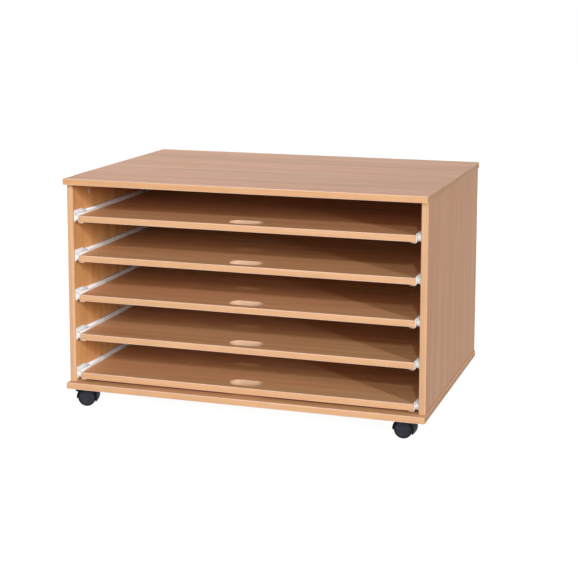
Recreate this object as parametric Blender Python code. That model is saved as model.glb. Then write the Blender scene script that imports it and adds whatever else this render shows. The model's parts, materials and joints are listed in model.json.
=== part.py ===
# A mobile paper storage cabinet: a beech-faced carcass on four twin-wheel castors,
# with flat shelves that pull out on roller runners.
# Metres, +Z up. The front faces -Y, +X is to the right of someone facing it, and the
# origin lies on the floor below the middle of the top.

import math

import bmesh
import bpy
from mathutils import Matrix

for old in list(bpy.data.objects):
    bpy.data.objects.remove(old, do_unlink=True)

MM = 0.001

# Clearances
SEAT_GAP = 0.3 * MM  # between pieces that sit against each other
RUNNING_GAP = 0.3 * MM  # round a pin, or between a roller and its track

# Carcass
CABINET_WIDTH = 1020 * MM  # of the top and the base
CABINET_DEPTH = 710 * MM
CARCASS_HEIGHT = 594 * MM  # base underside to the upper face of the top
BOARD = 18 * MM
SIDE_OVERHANG = 3 * MM  # top and base past the side panels
FRONT_OVERHANG = 20 * MM
EDGE_RADIUS = 1.5 * MM  # rounding of the lipped edges
BACK_BOARD = 8 * MM
BACK_INSET = 10 * MM  # back panel ahead of the rear edges
GROOVE_DEPTH = 8 * MM
GROOVE_PLAY = 0.3 * MM

# Shelves
SHELF_COUNT = 5
SHELF_BOARD = 18 * MM
SHELF_SETBACK = 2 * MM  # behind the side panels' front edges
SHELF_BACK_GAP = 10 * MM
TOP_SPACE = 87 * MM  # clear height above the highest shelf
FINGER_SLOT_LENGTH = 95 * MM
FINGER_SLOT_WIDTH = 51 * MM
FINGER_STRIP = 23.5 * MM  # board left in front of the slot

# Roller runners
RUNNER_SPACE = 14 * MM  # side panel to shelf edge
RUNNER_SETBACK = 5 * MM  # behind the side panels' front edges
RUNNER_REAR_SPACE = 67 * MM  # behind the runners
RUNNER_BASE_GAP = 7.2 * MM  # base to the lowest runner
STEEL = 1.2 * MM
ROLLER_RADIUS = 10 * MM
ROLLER_SIDE_GAP = 0.6 * MM
ROLLER_CHAMFER = 1 * MM
RIVET_RADIUS = 3 * MM
RIVET_HEAD_RADIUS = 4.5 * MM
RIVET_HEAD = 0.8 * MM
FLANGE_RISE = 2.7 * MM  # underside of a shelf runner's flange above the shelf
FOOT_WIDTH = 14 * MM  # shelf runner's foot under the shelf
FOOT_LIP = 3 * MM  # front end of the foot, folded down
FOOT_NOTCH = 1.5 * MM  # relief between that fold and the web
CHANNEL_LIP = 3 * MM
LIP_SIDE_GAP = 1.3 * MM
LIP_RISE = 1.1 * MM  # lip above the shelf runner's flange
HEAD_RISE = 6 * MM  # front plate of a cabinet runner above its channel
HEAD_DROP = 1.4 * MM  # front plate below the front roller
HEAD_NOSE = 3 * MM  # front plate ahead of the front roller
HEAD_LENGTH = 45 * MM
HEAD_SLOPE = 15 * MM
CHANNEL_GAP = 2 * MM  # front roller to the channel behind it
RUNNER_TAIL = 4 * MM  # shelf runner past its rear roller
FLANGE_GAP = 1.5 * MM  # shelf runner's flange ahead of its rear roller

# Castors
WHEEL_RADIUS = 25 * MM
WHEEL_WIDTH = 16 * MM
WHEEL_ROUND = 2.5 * MM  # tread shoulder
WHEEL_DISH_RADIUS = 20 * MM
WHEEL_DISH = 0.8 * MM
WHEEL_SIDE_GAP = 0.5 * MM
WHEEL_BORE_DEPTH = 12 * MM
AXLE_RADIUS = 3 * MM
AXLE_END_GAP = 0.5 * MM
HOOD_GAP = 1.5 * MM  # over the wheels
HOOD_WALL = 3 * MM
HOOD_SIDE_STEP = 0.5 * MM  # wheel faces past the hood
HOOD_LEADING = -28  # degrees from the forward horizontal
HOOD_TRAILING = 189
CASTOR_TRAIL = 15 * MM  # axle behind the swivel axis
CASTOR_SIDE_INSET = 51.5 * MM  # swivel axis from the edges of the base
CASTOR_END_INSET = 66 * MM
STEM_RADIUS = 4 * MM
STEM_LENGTH = 17 * MM
STEM_END_GAP = 1 * MM
SOCKET_WALL = 2.3 * MM
SOCKET_SKIN = 0.4 * MM  # of the hood's middle web past the socket
SWIVEL_HEAD_RADIUS = 11 * MM
SWIVEL_HEAD = 4 * MM
SWIVEL_RISE = 0.4 * MM  # swivel head above the hood
PLATE_SIDE = 56 * MM
PLATE_THICKNESS = 2.5 * MM
PLATE_CORNER = 6 * MM
PLATE_HOLE_RADIUS = 2.6 * MM
PLATE_HOLE_INSET = 7 * MM
PEDAL_ANGLE = 150  # degrees round the axle
PEDAL_WIDTH = 22 * MM
PEDAL_THICKNESS = 3.5 * MM
PEDAL_REACH = 7 * MM  # pin to tip
PEDAL_BARREL_RADIUS = 2.6 * MM
PEDAL_PIN_RADIUS = 1.4 * MM
EAR_THICKNESS = 2.5 * MM
CASTORS = (  # name, side and end of the base, turn at rest in degrees, whether it has a brake
    ("front_left", -1, -1, 13, True),
    ("front_right", 1, -1, -3, False),
    ("rear_left", -1, 1, 9, False),
    ("rear_right", 1, 1, -14, True),
)

# Facets
EDGE_STEPS = 2
ROUND_STEPS = 16
WHEEL_STEPS = 24
ARC_STEP = 15  # degrees
SMALL_ARC_STEP = 30
SHARP_ANGLE = math.radians(35)
WELD = 0.001 * MM

# Levels of the castors and the carcass
HOOD_INNER_RADIUS = WHEEL_RADIUS + HOOD_GAP
HOOD_RADIUS = HOOD_INNER_RADIUS + HOOD_WALL
SWIVEL_TOP = WHEEL_RADIUS + HOOD_RADIUS + SWIVEL_RISE
PLATE_UNDERSIDE = SWIVEL_TOP + SEAT_GAP
BASE_UNDERSIDE = PLATE_UNDERSIDE + PLATE_THICKNESS + SEAT_GAP
BASE_TOP = BASE_UNDERSIDE + BOARD
CABINET_TOP = BASE_UNDERSIDE + CARCASS_HEIGHT
TOP_UNDERSIDE = CABINET_TOP - BOARD

# Plan of the carcass
FRONT = -CABINET_DEPTH / 2
REAR = CABINET_DEPTH / 2
SIDE_FRONT = FRONT + FRONT_OVERHANG
INNER_HALF = CABINET_WIDTH / 2 - SIDE_OVERHANG - BOARD
BACK_FACE = REAR - BACK_INSET - BACK_BOARD

# Section of a runner pair, measured from the side panel and from the shelf's underside
CABINET_WEB = SEAT_GAP + STEEL
ROLLER_START = CABINET_WEB + ROLLER_SIDE_GAP
SHELF_WEB = RUNNER_SPACE - SEAT_GAP - STEEL
RIVET_END = SHELF_WEB - ROLLER_SIDE_GAP
FRONT_ROLLER_END = RIVET_END - RIVET_HEAD - RUNNING_GAP
LIP_OUTSIDE = SHELF_WEB - LIP_SIDE_GAP
REAR_ROLLER_END = LIP_OUTSIDE - STEEL - ROLLER_SIDE_GAP
FLANGE_UNDERSIDE = SHELF_BOARD + FLANGE_RISE
FLANGE_TOP = FLANGE_UNDERSIDE + STEEL
CHANNEL_TOP = FLANGE_TOP + LIP_RISE + CHANNEL_LIP
CHANNEL_BOTTOM = CHANNEL_TOP - 2 * (STEEL + RUNNING_GAP + ROLLER_RADIUS)
REAR_ROLLER_LEVEL = (CHANNEL_TOP + CHANNEL_BOTTOM) / 2
FRONT_ROLLER_LEVEL = FLANGE_UNDERSIDE - RUNNING_GAP - ROLLER_RADIUS
HEAD_TOP = CHANNEL_TOP + HEAD_RISE
HEAD_BOTTOM = FRONT_ROLLER_LEVEL - ROLLER_RADIUS - HEAD_DROP

# Length of a runner pair, measured from its front end
RUNNER_FRONT = SIDE_FRONT + RUNNER_SETBACK
RUNNER_LENGTH = BACK_FACE - RUNNER_REAR_SPACE - RUNNER_FRONT
FRONT_ROLLER_AXIS = HEAD_NOSE + ROLLER_RADIUS
REAR_ROLLER_AXIS = RUNNER_LENGTH - RUNNER_TAIL - ROLLER_RADIUS
CHANNEL_START = FRONT_ROLLER_AXIS + ROLLER_RADIUS + CHANNEL_GAP
FLANGE_LENGTH = REAR_ROLLER_AXIS - ROLLER_RADIUS - FLANGE_GAP

# Shelf levels
SHELF_FRONT = SIDE_FRONT + SHELF_SETBACK
SHELF_DEPTH = BACK_FACE - SHELF_BACK_GAP - SHELF_FRONT
SHELF_WIDTH = 2 * (INNER_HALF - RUNNER_SPACE)
LOWEST_SHELF = BASE_TOP + RUNNER_BASE_GAP - HEAD_BOTTOM
HIGHEST_SHELF = TOP_UNDERSIDE - TOP_SPACE - SHELF_BOARD
SHELF_PITCH = (HIGHEST_SHELF - LOWEST_SHELF) / (SHELF_COUNT - 1)

# Section of a castor, measured along its axle and from its swivel axis
SOCKET_RADIUS = STEM_RADIUS + RUNNING_GAP
COLUMN_RADIUS = SOCKET_RADIUS + SOCKET_WALL
CORE_WIDTH = 2 * (COLUMN_RADIUS + SOCKET_SKIN)
WHEEL_START = CORE_WIDTH / 2 + WHEEL_SIDE_GAP
WHEEL_END = WHEEL_START + WHEEL_WIDTH
HOOD_WIDTH = 2 * (WHEEL_END - HOOD_SIDE_STEP)
AXLE_LENGTH = 2 * (WHEEL_START + WHEEL_BORE_DEPTH - AXLE_END_GAP)
PEDAL_PIN_ORBIT = HOOD_RADIUS + SEAT_GAP + PEDAL_BARREL_RADIUS


def finish(name, colour, roughness, metallic=0.0):
    material = bpy.data.materials.new(name)
    material.use_nodes = True
    shader = material.node_tree.nodes["Principled BSDF"]
    shader.inputs["Base Color"].default_value = (*colour, 1.0)
    shader.inputs["Roughness"].default_value = roughness
    shader.inputs["Metallic"].default_value = metallic
    return material


BEECH = finish("beech_board", (0.62, 0.36, 0.18), 0.45)
SHELF_BEECH = finish("beech_shelf", (0.58, 0.33, 0.16), 0.45)
BACK_BEECH = finish("beech_back", (0.52, 0.29, 0.14), 0.5)
WHITE_STEEL = finish("white_coated_steel", (0.82, 0.82, 0.80), 0.35)
WHITE_NYLON = finish("white_nylon", (0.85, 0.84, 0.80), 0.5)
ZINC_STEEL = finish("zinc_steel", (0.6, 0.6, 0.6), 0.35, 1.0)
BLACK_PLASTIC = finish("black_plastic", (0.018, 0.018, 0.02), 0.5)
WHEEL_PLASTIC = finish("wheel_plastic", (0.035, 0.038, 0.048), 0.45)


def add(name, data, location=(0, 0, 0), parent=None):
    thing = bpy.data.objects.new(name, data)
    thing.location = location
    thing.parent = parent
    bpy.context.collection.objects.link(thing)
    return thing


def baked(thing):
    """The object's mesh as its modifiers leave it. The object itself goes."""
    bpy.context.view_layer.update()
    graph = bpy.context.evaluated_depsgraph_get()
    mesh = bpy.data.meshes.new_from_object(thing.evaluated_get(graph))
    bpy.data.objects.remove(thing)
    return mesh


def mesh_of(bm):
    mesh = bpy.data.meshes.new("work")
    bm.to_mesh(mesh)
    bm.free()
    return mesh


def welded(mesh):
    """The mesh with its doubles merged and its faces turned outwards."""
    bm = bmesh.new()
    bm.from_mesh(mesh)
    bmesh.ops.remove_doubles(bm, verts=bm.verts, dist=WELD)
    bmesh.ops.dissolve_degenerate(bm, edges=bm.edges, dist=WELD)
    bmesh.ops.recalc_face_normals(bm, faces=bm.faces)
    bm.to_mesh(mesh)
    bm.free()
    return mesh


def finished(name, mesh, material):
    """The mesh named and coloured, with its round sides smooth."""
    welded(mesh)
    mesh.name = name
    mesh.materials.clear()
    mesh.materials.append(material)
    mesh.shade_smooth()
    mesh.set_sharp_from_angle(angle=SHARP_ANGLE)
    return mesh


def combined(mesh, joins=(), cuts=()):
    """The mesh with others joined to it, and then others cut from it."""
    body = add("work", mesh)
    tools = []
    for operation, others in (("UNION", joins), ("DIFFERENCE", cuts)):
        for other in others:
            tool = add("tool", other)
            modifier = body.modifiers.new(operation, "BOOLEAN")
            modifier.operation = operation
            modifier.solver = "EXACT"
            modifier.object = tool
            tools.append(tool)
    result = baked(body)
    for tool in tools:
        bpy.data.objects.remove(tool)
    return result


def moved(mesh, offset=(0, 0, 0), turn=Matrix.Identity(4)):
    mesh.transform(Matrix.Translation(offset) @ turn)
    return mesh


def mirrored(name, mesh):
    """A copy of the mesh for the other side of the cabinet."""
    other = mesh.copy()
    other.name = name
    other.transform(Matrix.Scale(-1, 4, (1, 0, 0)))
    other.flip_normals()
    return other


def arc(radius, start, end, centre=(0, 0), step=ARC_STEP):
    """Points on a circle from one angle to another, in degrees."""
    steps = max(2, round(abs(end - start) / step))
    angles = [math.radians(start + (end - start) * i / steps) for i in range(steps + 1)]
    return [(centre[0] + radius * math.cos(a), centre[1] + radius * math.sin(a)) for a in angles]


def ring(radius, centre=(0, 0)):
    return arc(radius, 0, 360, centre, SMALL_ARC_STEP)[:-1]


def round_rectangle(width, depth, radius):
    x = width / 2 - radius
    y = depth / 2 - radius
    outline = []
    for centre, start in (((x, y), 0), ((-x, y), 90), ((-x, -y), 180), ((x, -y), 270)):
        outline += arc(radius, start, start + 90, centre, SMALL_ARC_STEP)
    return outline


def plate(outlines, thickness, edge=0.0):
    """A plate about its mid-plane, cut to closed outlines, holes included. edge rounds its rims."""
    curve = bpy.data.curves.new("outline", "CURVE")
    curve.dimensions = "2D"
    curve.fill_mode = "BOTH"
    curve.extrude = thickness / 2 - edge
    curve.bevel_depth = edge
    curve.bevel_resolution = EDGE_STEPS - 1
    for outline in outlines:
        spline = curve.splines.new("POLY")
        spline.points.add(len(outline) - 1)
        spline.use_cyclic_u = True
        for point, (x, y) in zip(spline.points, outline):
            point.co = (x, y, 0, 1)
    return welded(baked(add("outline", curve)))


def turned(profile, steps=ROUND_STEPS):
    """A profile of (radius, height) points, closed or with both ends on the axis, turned about Z."""
    bm = bmesh.new()
    points = [bm.verts.new((radius, 0, height)) for radius, height in profile]
    pairs = list(zip(points, points[1:]))
    if profile[0][0] > 0:
        pairs.append((points[-1], points[0]))
    edges = [bm.edges.new(pair) for pair in pairs]
    bmesh.ops.spin(bm, geom=points + edges, axis=(0, 0, 1), angle=math.tau, steps=steps)
    return welded(mesh_of(bm))


def rod(radius, start, end):
    return turned([(0, start), (radius, start), (radius, end), (0, end)])


def folded_sheet(panels):
    """Flat panels that share edges, thickened away from the side that their outlines turn left on."""
    bm = bmesh.new()
    for outline in panels:
        bm.faces.new([bm.verts.new(point) for point in outline])
    bmesh.ops.remove_doubles(bm, verts=bm.verts, dist=WELD)
    sheet = add("sheet", mesh_of(bm))
    modifier = sheet.modifiers.new("thickness", "SOLIDIFY")
    modifier.solidify_mode = "NON_MANIFOLD"  # the mode that keeps every panel to one thickness
    modifier.nonmanifold_thickness_mode = "CONSTRAINTS"
    modifier.thickness = STEEL
    modifier.offset = -1
    return baked(sheet)


ABOUT_X = Matrix.Rotation(math.pi / 2, 4, "Y")  # turns a shape made along +Z to lie along +X
ABOUT_Y = Matrix.Rotation(-math.pi / 2, 4, "X")  # turns a shape made along +Z to lie along +Y
UPRIGHT = Matrix.Rotation(math.pi / 2, 4, "X")  # stands a flat outline up, with its y along +Z


def board(size, rounded):
    """A board about its own middle. rounded tells from an edge's middle whether to round that edge."""
    bm = bmesh.new()
    bmesh.ops.create_cube(bm, size=1)
    bmesh.ops.scale(bm, vec=size, verts=bm.verts)
    edges = [e for e in bm.edges if rounded((e.verts[0].co + e.verts[1].co) / 2)]
    bmesh.ops.bevel(bm, geom=edges, offset=EDGE_RADIUS, segments=EDGE_STEPS, profile=0.5, affect="EDGES")
    return mesh_of(bm)


def front_upright(middle):
    return middle.y < 0 and middle.z == 0


def build_carcass():
    back_width = 2 * (INNER_HALF + GROOVE_DEPTH)
    back_height = TOP_UNDERSIDE - BASE_TOP + 2 * GROOVE_DEPTH
    back_middle = (0, BACK_FACE + BACK_BOARD / 2, (TOP_UNDERSIDE + BASE_TOP) / 2)
    side_height = TOP_UNDERSIDE - BASE_TOP - 2 * SEAT_GAP
    lid_size = (CABINET_WIDTH, CABINET_DEPTH, BOARD)
    side_size = (BOARD, REAR - SIDE_FRONT, side_height)
    side_offset = INNER_HALF + BOARD / 2
    side_middle = (SIDE_FRONT + REAR) / 2
    boards = (
        ("top_panel", lid_size, (0, 0, CABINET_TOP - BOARD / 2), lambda middle: True),
        ("base_panel", lid_size, (0, 0, BASE_UNDERSIDE + BOARD / 2), lambda middle: True),
        ("left_side_panel", side_size, (-side_offset, side_middle, back_middle[2]), front_upright),
        ("right_side_panel", side_size, (side_offset, side_middle, back_middle[2]), front_upright),
    )
    for name, size, middle, rounded in boards:
        groove_size = (back_width, BACK_BOARD, back_height)
        groove = board([side + 2 * GROOVE_PLAY for side in groove_size], lambda edge: False)
        moved(groove, [b - m for b, m in zip(back_middle, middle)])
        mesh = combined(board(size, rounded), cuts=[groove])
        add(name, finished(name, mesh, BEECH), middle)
    back = board((back_width, BACK_BOARD, back_height), lambda middle: False)
    add("back_panel", finished("back_panel", back, BACK_BEECH), back_middle)


def shelf_mesh():
    """A board from its front edge back and from its underside up, with a round-ended finger slot."""
    board_half = SHELF_WIDTH / 2 - EDGE_RADIUS
    near = EDGE_RADIUS
    far = SHELF_DEPTH - EDGE_RADIUS
    outline = [(-board_half, near), (board_half, near), (board_half, far), (-board_half, far)]
    slot_radius = FINGER_SLOT_WIDTH / 2
    slot_end = FINGER_SLOT_LENGTH / 2 - slot_radius
    slot_middle = FINGER_STRIP + slot_radius
    cut_radius = slot_radius + EDGE_RADIUS
    slot = arc(cut_radius, -90, 90, (slot_end, slot_middle))
    slot += arc(cut_radius, 90, 270, (-slot_end, slot_middle))
    mesh = moved(plate([outline, slot], SHELF_BOARD, EDGE_RADIUS), (0, 0, SHELF_BOARD / 2))
    return finished("shelf", mesh, SHELF_BEECH)


def corners(low, high, near, far):
    """The corners of a rectangle, turning left."""
    return [(low, near), (high, near), (high, far), (low, far)]


def cabinet_runner_mesh():
    """Left-hand channel on the side panel, with the plate and rivet that carry the front roller."""
    slope_end = HEAD_LENGTH + HEAD_SLOPE
    web_outline = (
        (0, HEAD_BOTTOM),
        (0, HEAD_TOP),
        (HEAD_LENGTH, HEAD_TOP),
        (slope_end, CHANNEL_TOP),
        (RUNNER_LENGTH, CHANNEL_TOP),
        (RUNNER_LENGTH, CHANNEL_BOTTOM),
        (CHANNEL_START, CHANNEL_BOTTOM),
        (FRONT_ROLLER_AXIS, HEAD_BOTTOM),
    )
    inner = SEAT_GAP
    outer = LIP_OUTSIDE
    end = RUNNER_LENGTH
    upper_lip = CHANNEL_TOP - CHANNEL_LIP
    lower_lip = CHANNEL_BOTTOM + CHANNEL_LIP
    sheet = folded_sheet(
        (
            [(inner, y, z) for y, z in web_outline],
            [(x, y, CHANNEL_TOP) for x, y in corners(inner, outer, slope_end, end)],
            [(outer, y, z) for y, z in corners(slope_end, end, upper_lip, CHANNEL_TOP)],
            [(x, y, CHANNEL_BOTTOM) for x, y in reversed(corners(inner, outer, CHANNEL_START, end))],
            [(outer, y, z) for y, z in corners(CHANNEL_START, end, CHANNEL_BOTTOM, lower_lip)],
        )
    )
    rivet = turned(
        [
            (0, SEAT_GAP + STEEL / 2),
            (RIVET_RADIUS, SEAT_GAP + STEEL / 2),
            (RIVET_RADIUS, RIVET_END - RIVET_HEAD),
            (RIVET_HEAD_RADIUS, RIVET_END - RIVET_HEAD),
            (RIVET_HEAD_RADIUS, RIVET_END),
            (0, RIVET_END),
        ]
    )
    moved(rivet, (0, FRONT_ROLLER_AXIS, FRONT_ROLLER_LEVEL), ABOUT_X)
    return finished("cabinet_runner_left", combined(sheet, joins=[rivet]), WHITE_STEEL)


def shelf_runner_mesh():
    """Left-hand angle on the shelf: a flange over the front roller, a lipped foot and the rear roller."""
    side = RUNNER_SPACE - SEAT_GAP
    under = -SEAT_GAP
    end = RUNNER_LENGTH
    web_outline = corners(0, end, under, FLANGE_TOP)
    web_outline.insert(3, (FLANGE_LENGTH, FLANGE_TOP))  # where the flange ends
    foot_end = side + FOOT_WIDTH
    lip_start = side + FOOT_NOTCH
    foot_outline = corners(side, foot_end, 0, end)
    foot_outline.insert(1, (lip_start, 0))
    sheet = folded_sheet(
        (
            [(side, y, z) for y, z in web_outline],
            [(x, y, FLANGE_TOP) for x, y in corners(ROLLER_START, side, 0, FLANGE_LENGTH)],
            [(x, y, under) for x, y in foot_outline],
            [(x, 0, z) for x, z in corners(lip_start, foot_end, under - FOOT_LIP, under)],
        )
    )
    roller = turned(
        [
            (0, ROLLER_START),
            (ROLLER_RADIUS - ROLLER_CHAMFER, ROLLER_START),
            (ROLLER_RADIUS, ROLLER_START + ROLLER_CHAMFER),
            (ROLLER_RADIUS, REAR_ROLLER_END - ROLLER_CHAMFER),
            (ROLLER_RADIUS - ROLLER_CHAMFER, REAR_ROLLER_END),
            (RIVET_RADIUS, REAR_ROLLER_END),
            (RIVET_RADIUS, SHELF_WEB + STEEL / 2),
            (0, SHELF_WEB + STEEL / 2),
        ]
    )
    moved(roller, (0, REAR_ROLLER_AXIS, REAR_ROLLER_LEVEL), ABOUT_X)
    return finished("shelf_runner_left", combined(sheet, joins=[roller]), WHITE_STEEL)


def front_roller_mesh():
    """Left-hand roller about its own axis, from its face towards the side panel inwards."""
    width = FRONT_ROLLER_END - ROLLER_START
    bore = RIVET_RADIUS + RUNNING_GAP
    rim = ROLLER_RADIUS - ROLLER_CHAMFER
    profile = [
        (bore, 0),
        (rim, 0),
        (ROLLER_RADIUS, ROLLER_CHAMFER),
        (ROLLER_RADIUS, width - ROLLER_CHAMFER),
        (rim, width),
        (bore, width),
    ]
    return finished("front_roller_left", moved(turned(profile), turn=ABOUT_X), WHITE_NYLON)


def build_shelves():
    shelf = shelf_mesh()
    left_meshes = (cabinet_runner_mesh(), shelf_runner_mesh(), front_roller_mesh())
    right_meshes = [mirrored(mesh.name.replace("left", "right"), mesh) for mesh in left_meshes]
    for number in range(1, SHELF_COUNT + 1):
        level = HIGHEST_SHELF - (number - 1) * SHELF_PITCH
        slider = add(f"shelf_{number}", shelf, (0, SHELF_FRONT, level))
        for side, sign, meshes in (("left", 1, left_meshes), ("right", -1, right_meshes)):
            channel, angle, roller = meshes
            panel = -sign * INNER_HALF
            add(f"cabinet_runner_{side}_{number}", channel, (panel, RUNNER_FRONT, level))
            add(f"shelf_runner_{side}_{number}", angle, (panel, RUNNER_FRONT - SHELF_FRONT, 0), slider)
            roller_face = panel + sign * ROLLER_START
            axis = (roller_face, RUNNER_FRONT + FRONT_ROLLER_AXIS, level + FRONT_ROLLER_LEVEL)
            add(f"front_roller_{side}_{number}", roller, axis)


def castor_plate_mesh():
    """Fixing plate with its swivel stem, from its upper face down."""
    reach = PLATE_SIDE / 2 - PLATE_HOLE_INSET
    holes = [ring(PLATE_HOLE_RADIUS, (x, y)) for x in (-reach, reach) for y in (-reach, reach)]
    outline = round_rectangle(PLATE_SIDE, PLATE_SIDE, PLATE_CORNER)
    flat = moved(plate([outline, *holes], PLATE_THICKNESS), (0, 0, -PLATE_THICKNESS / 2))
    stem = rod(STEM_RADIUS, -PLATE_THICKNESS - STEM_LENGTH, -PLATE_THICKNESS / 2)
    return finished("castor_plate", combined(flat, joins=[stem]), ZINC_STEEL)


def pedal_pin_place():
    angle = math.radians(PEDAL_ANGLE)
    x = -CASTOR_TRAIL + PEDAL_PIN_ORBIT * math.cos(angle)
    z = WHEEL_RADIUS + PEDAL_PIN_ORBIT * math.sin(angle)
    return x, 0, z


def castor_hood_mesh(brake):
    """Mudguard, middle web, axle and swivel socket in one, from the floor below its swivel axis."""
    wheel_middle = (-CASTOR_TRAIL, 0, WHEEL_RADIUS)
    guard = arc(HOOD_RADIUS, HOOD_LEADING, HOOD_TRAILING)
    guard += arc(HOOD_INNER_RADIUS, HOOD_TRAILING, HOOD_LEADING)
    shell = moved(plate([guard], HOOD_WIDTH), wheel_middle, UPRIGHT)
    web_outline = arc(HOOD_RADIUS - HOOD_WALL / 2, HOOD_LEADING, HOOD_TRAILING)
    web = moved(plate([web_outline], CORE_WIDTH), wheel_middle, UPRIGHT)
    axle = moved(rod(AXLE_RADIUS, -AXLE_LENGTH / 2, AXLE_LENGTH / 2), wheel_middle, ABOUT_Y)
    socket_bottom = PLATE_UNDERSIDE - STEM_LENGTH - STEM_END_GAP
    head_underside = SWIVEL_TOP - SWIVEL_HEAD
    column = turned(
        [
            (0, socket_bottom),
            (COLUMN_RADIUS, socket_bottom),
            (COLUMN_RADIUS, head_underside),
            (SWIVEL_HEAD_RADIUS, head_underside),
            (SWIVEL_HEAD_RADIUS, SWIVEL_TOP),
            (0, SWIVEL_TOP),
        ]
    )
    socket = rod(SOCKET_RADIUS, socket_bottom, SWIVEL_TOP + STEM_LENGTH)
    joins = [web, axle, column]
    if brake:
        joins += pedal_ears()
    name = "castor_hood_brake" if brake else "castor_hood"
    return finished(name, combined(shell, joins, cuts=[socket]), BLACK_PLASTIC)


def pedal_ears():
    """The two ears on the mudguard, and the pin between them that the pedal tips on."""
    root = HOOD_RADIUS - HOOD_WALL / 2
    tip = PEDAL_PIN_ORBIT
    half = PEDAL_BARREL_RADIUS
    outline = [(root, -half), *arc(half, -90, 90, (tip, 0), SMALL_ARC_STEP), (root, half)]
    offset = PEDAL_WIDTH / 2 + SEAT_GAP + EAR_THICKNESS / 2
    tilt = UPRIGHT @ Matrix.Rotation(math.radians(PEDAL_ANGLE), 4, "Z")
    ears = []
    for side in (-offset, offset):
        ears.append(moved(plate([outline], EAR_THICKNESS), (-CASTOR_TRAIL, side, WHEEL_RADIUS), tilt))
    pin = rod(PEDAL_PIN_RADIUS, -offset, offset)
    return [*ears, moved(pin, pedal_pin_place(), ABOUT_Y)]


def castor_wheel_mesh():
    """One wheel about its own middle line, from the face towards the hood outwards along +Y."""
    bore = AXLE_RADIUS + RUNNING_GAP
    shoulder = WHEEL_RADIUS - WHEEL_ROUND
    profile = [
        (0, WHEEL_BORE_DEPTH),
        (bore, WHEEL_BORE_DEPTH),
        (bore, 0),
        (WHEEL_RADIUS - WHEEL_SIDE_GAP, 0),
        (WHEEL_RADIUS, WHEEL_SIDE_GAP),
    ]
    round_middle = (shoulder, WHEEL_WIDTH - WHEEL_ROUND)
    profile += arc(WHEEL_ROUND, 0, 90, round_middle, SMALL_ARC_STEP)
    profile += [(WHEEL_DISH_RADIUS, WHEEL_WIDTH), (0, WHEEL_WIDTH - WHEEL_DISH)]
    return finished("castor_wheel", moved(turned(profile, WHEEL_STEPS), turn=ABOUT_Y), WHEEL_PLASTIC)


def brake_pedal_mesh():
    """A barrel on the pin and a round-ended tab along -X."""
    join = math.degrees(math.asin(PEDAL_THICKNESS / 2 / PEDAL_BARREL_RADIUS))
    tip_radius = PEDAL_THICKNESS / 2
    outline = arc(PEDAL_BARREL_RADIUS, join - 180, 180 - join, step=SMALL_ARC_STEP)
    outline += arc(tip_radius, 90, 270, (tip_radius - PEDAL_REACH, 0), SMALL_ARC_STEP)
    bore = ring(PEDAL_PIN_RADIUS + RUNNING_GAP)
    return finished("brake_pedal", moved(plate([outline, bore], PEDAL_WIDTH), turn=UPRIGHT), BLACK_PLASTIC)


def build_castors():
    fixing = castor_plate_mesh()
    hoods = {brake: castor_hood_mesh(brake) for brake in (False, True)}
    wheel = castor_wheel_mesh()
    pedal = brake_pedal_mesh()
    for name, side, end, turn, brake in CASTORS:
        x = side * (CABINET_WIDTH / 2 - CASTOR_SIDE_INSET)
        y = end * (CABINET_DEPTH / 2 - CASTOR_END_INSET)
        add(f"castor_plate_{name}", fixing, (x, y, BASE_UNDERSIDE - SEAT_GAP))
        swivel = add(f"castor_swivel_{name}", None, (x, y, 0))
        swivel.rotation_euler.z = math.radians(turn)
        add(f"castor_hood_{name}", hoods[brake], parent=swivel)
        near = add(f"castor_wheel_near_{name}", wheel, (-CASTOR_TRAIL, -WHEEL_START, WHEEL_RADIUS), swivel)
        near.rotation_euler.z = math.pi
        add(f"castor_wheel_far_{name}", wheel, (-CASTOR_TRAIL, WHEEL_START, WHEEL_RADIUS), swivel)
        if brake:
            add(f"brake_pedal_{name}", pedal, pedal_pin_place(), swivel)


build_carcass()
build_shelves()
build_castors()
bpy.context.view_layer.update()
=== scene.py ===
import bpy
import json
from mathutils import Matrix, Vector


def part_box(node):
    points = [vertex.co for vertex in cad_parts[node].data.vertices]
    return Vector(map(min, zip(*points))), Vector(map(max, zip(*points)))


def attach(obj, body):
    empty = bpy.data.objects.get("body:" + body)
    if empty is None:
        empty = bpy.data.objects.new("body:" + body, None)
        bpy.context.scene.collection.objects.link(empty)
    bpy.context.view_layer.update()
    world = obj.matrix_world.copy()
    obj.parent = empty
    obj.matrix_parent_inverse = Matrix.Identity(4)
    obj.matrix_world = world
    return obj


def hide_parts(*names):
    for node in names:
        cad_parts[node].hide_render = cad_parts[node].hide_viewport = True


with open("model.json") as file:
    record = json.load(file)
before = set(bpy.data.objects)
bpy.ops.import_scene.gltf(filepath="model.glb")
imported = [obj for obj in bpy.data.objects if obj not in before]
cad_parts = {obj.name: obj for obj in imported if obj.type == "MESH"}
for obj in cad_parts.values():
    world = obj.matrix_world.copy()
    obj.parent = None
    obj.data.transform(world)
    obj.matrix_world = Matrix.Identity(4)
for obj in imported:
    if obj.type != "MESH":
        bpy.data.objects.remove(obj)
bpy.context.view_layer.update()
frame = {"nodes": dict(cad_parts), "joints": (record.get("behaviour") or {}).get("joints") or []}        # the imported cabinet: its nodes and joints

import json
import math

import bmesh
import bpy
import numpy as np
from mathutils import Vector

jointNamed = {joint["name"]: joint for joint in frame["joints"]}
shelfNames = [joint["child"] for joint in frame["joints"] if joint["type"] == "slide"]
castorNames = [joint["child"] for name, joint in jointNamed.items()
               if name.startswith("castor_swivel")]
inwardOf = {"left": 1, "right": -1}  # which way each side faces the shelves, along X
print("frame:", len(frame["nodes"]), "nodes,", len(shelfNames), "shelves,",
      len(castorNames), "castors")


# Nodes of a material

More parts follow.
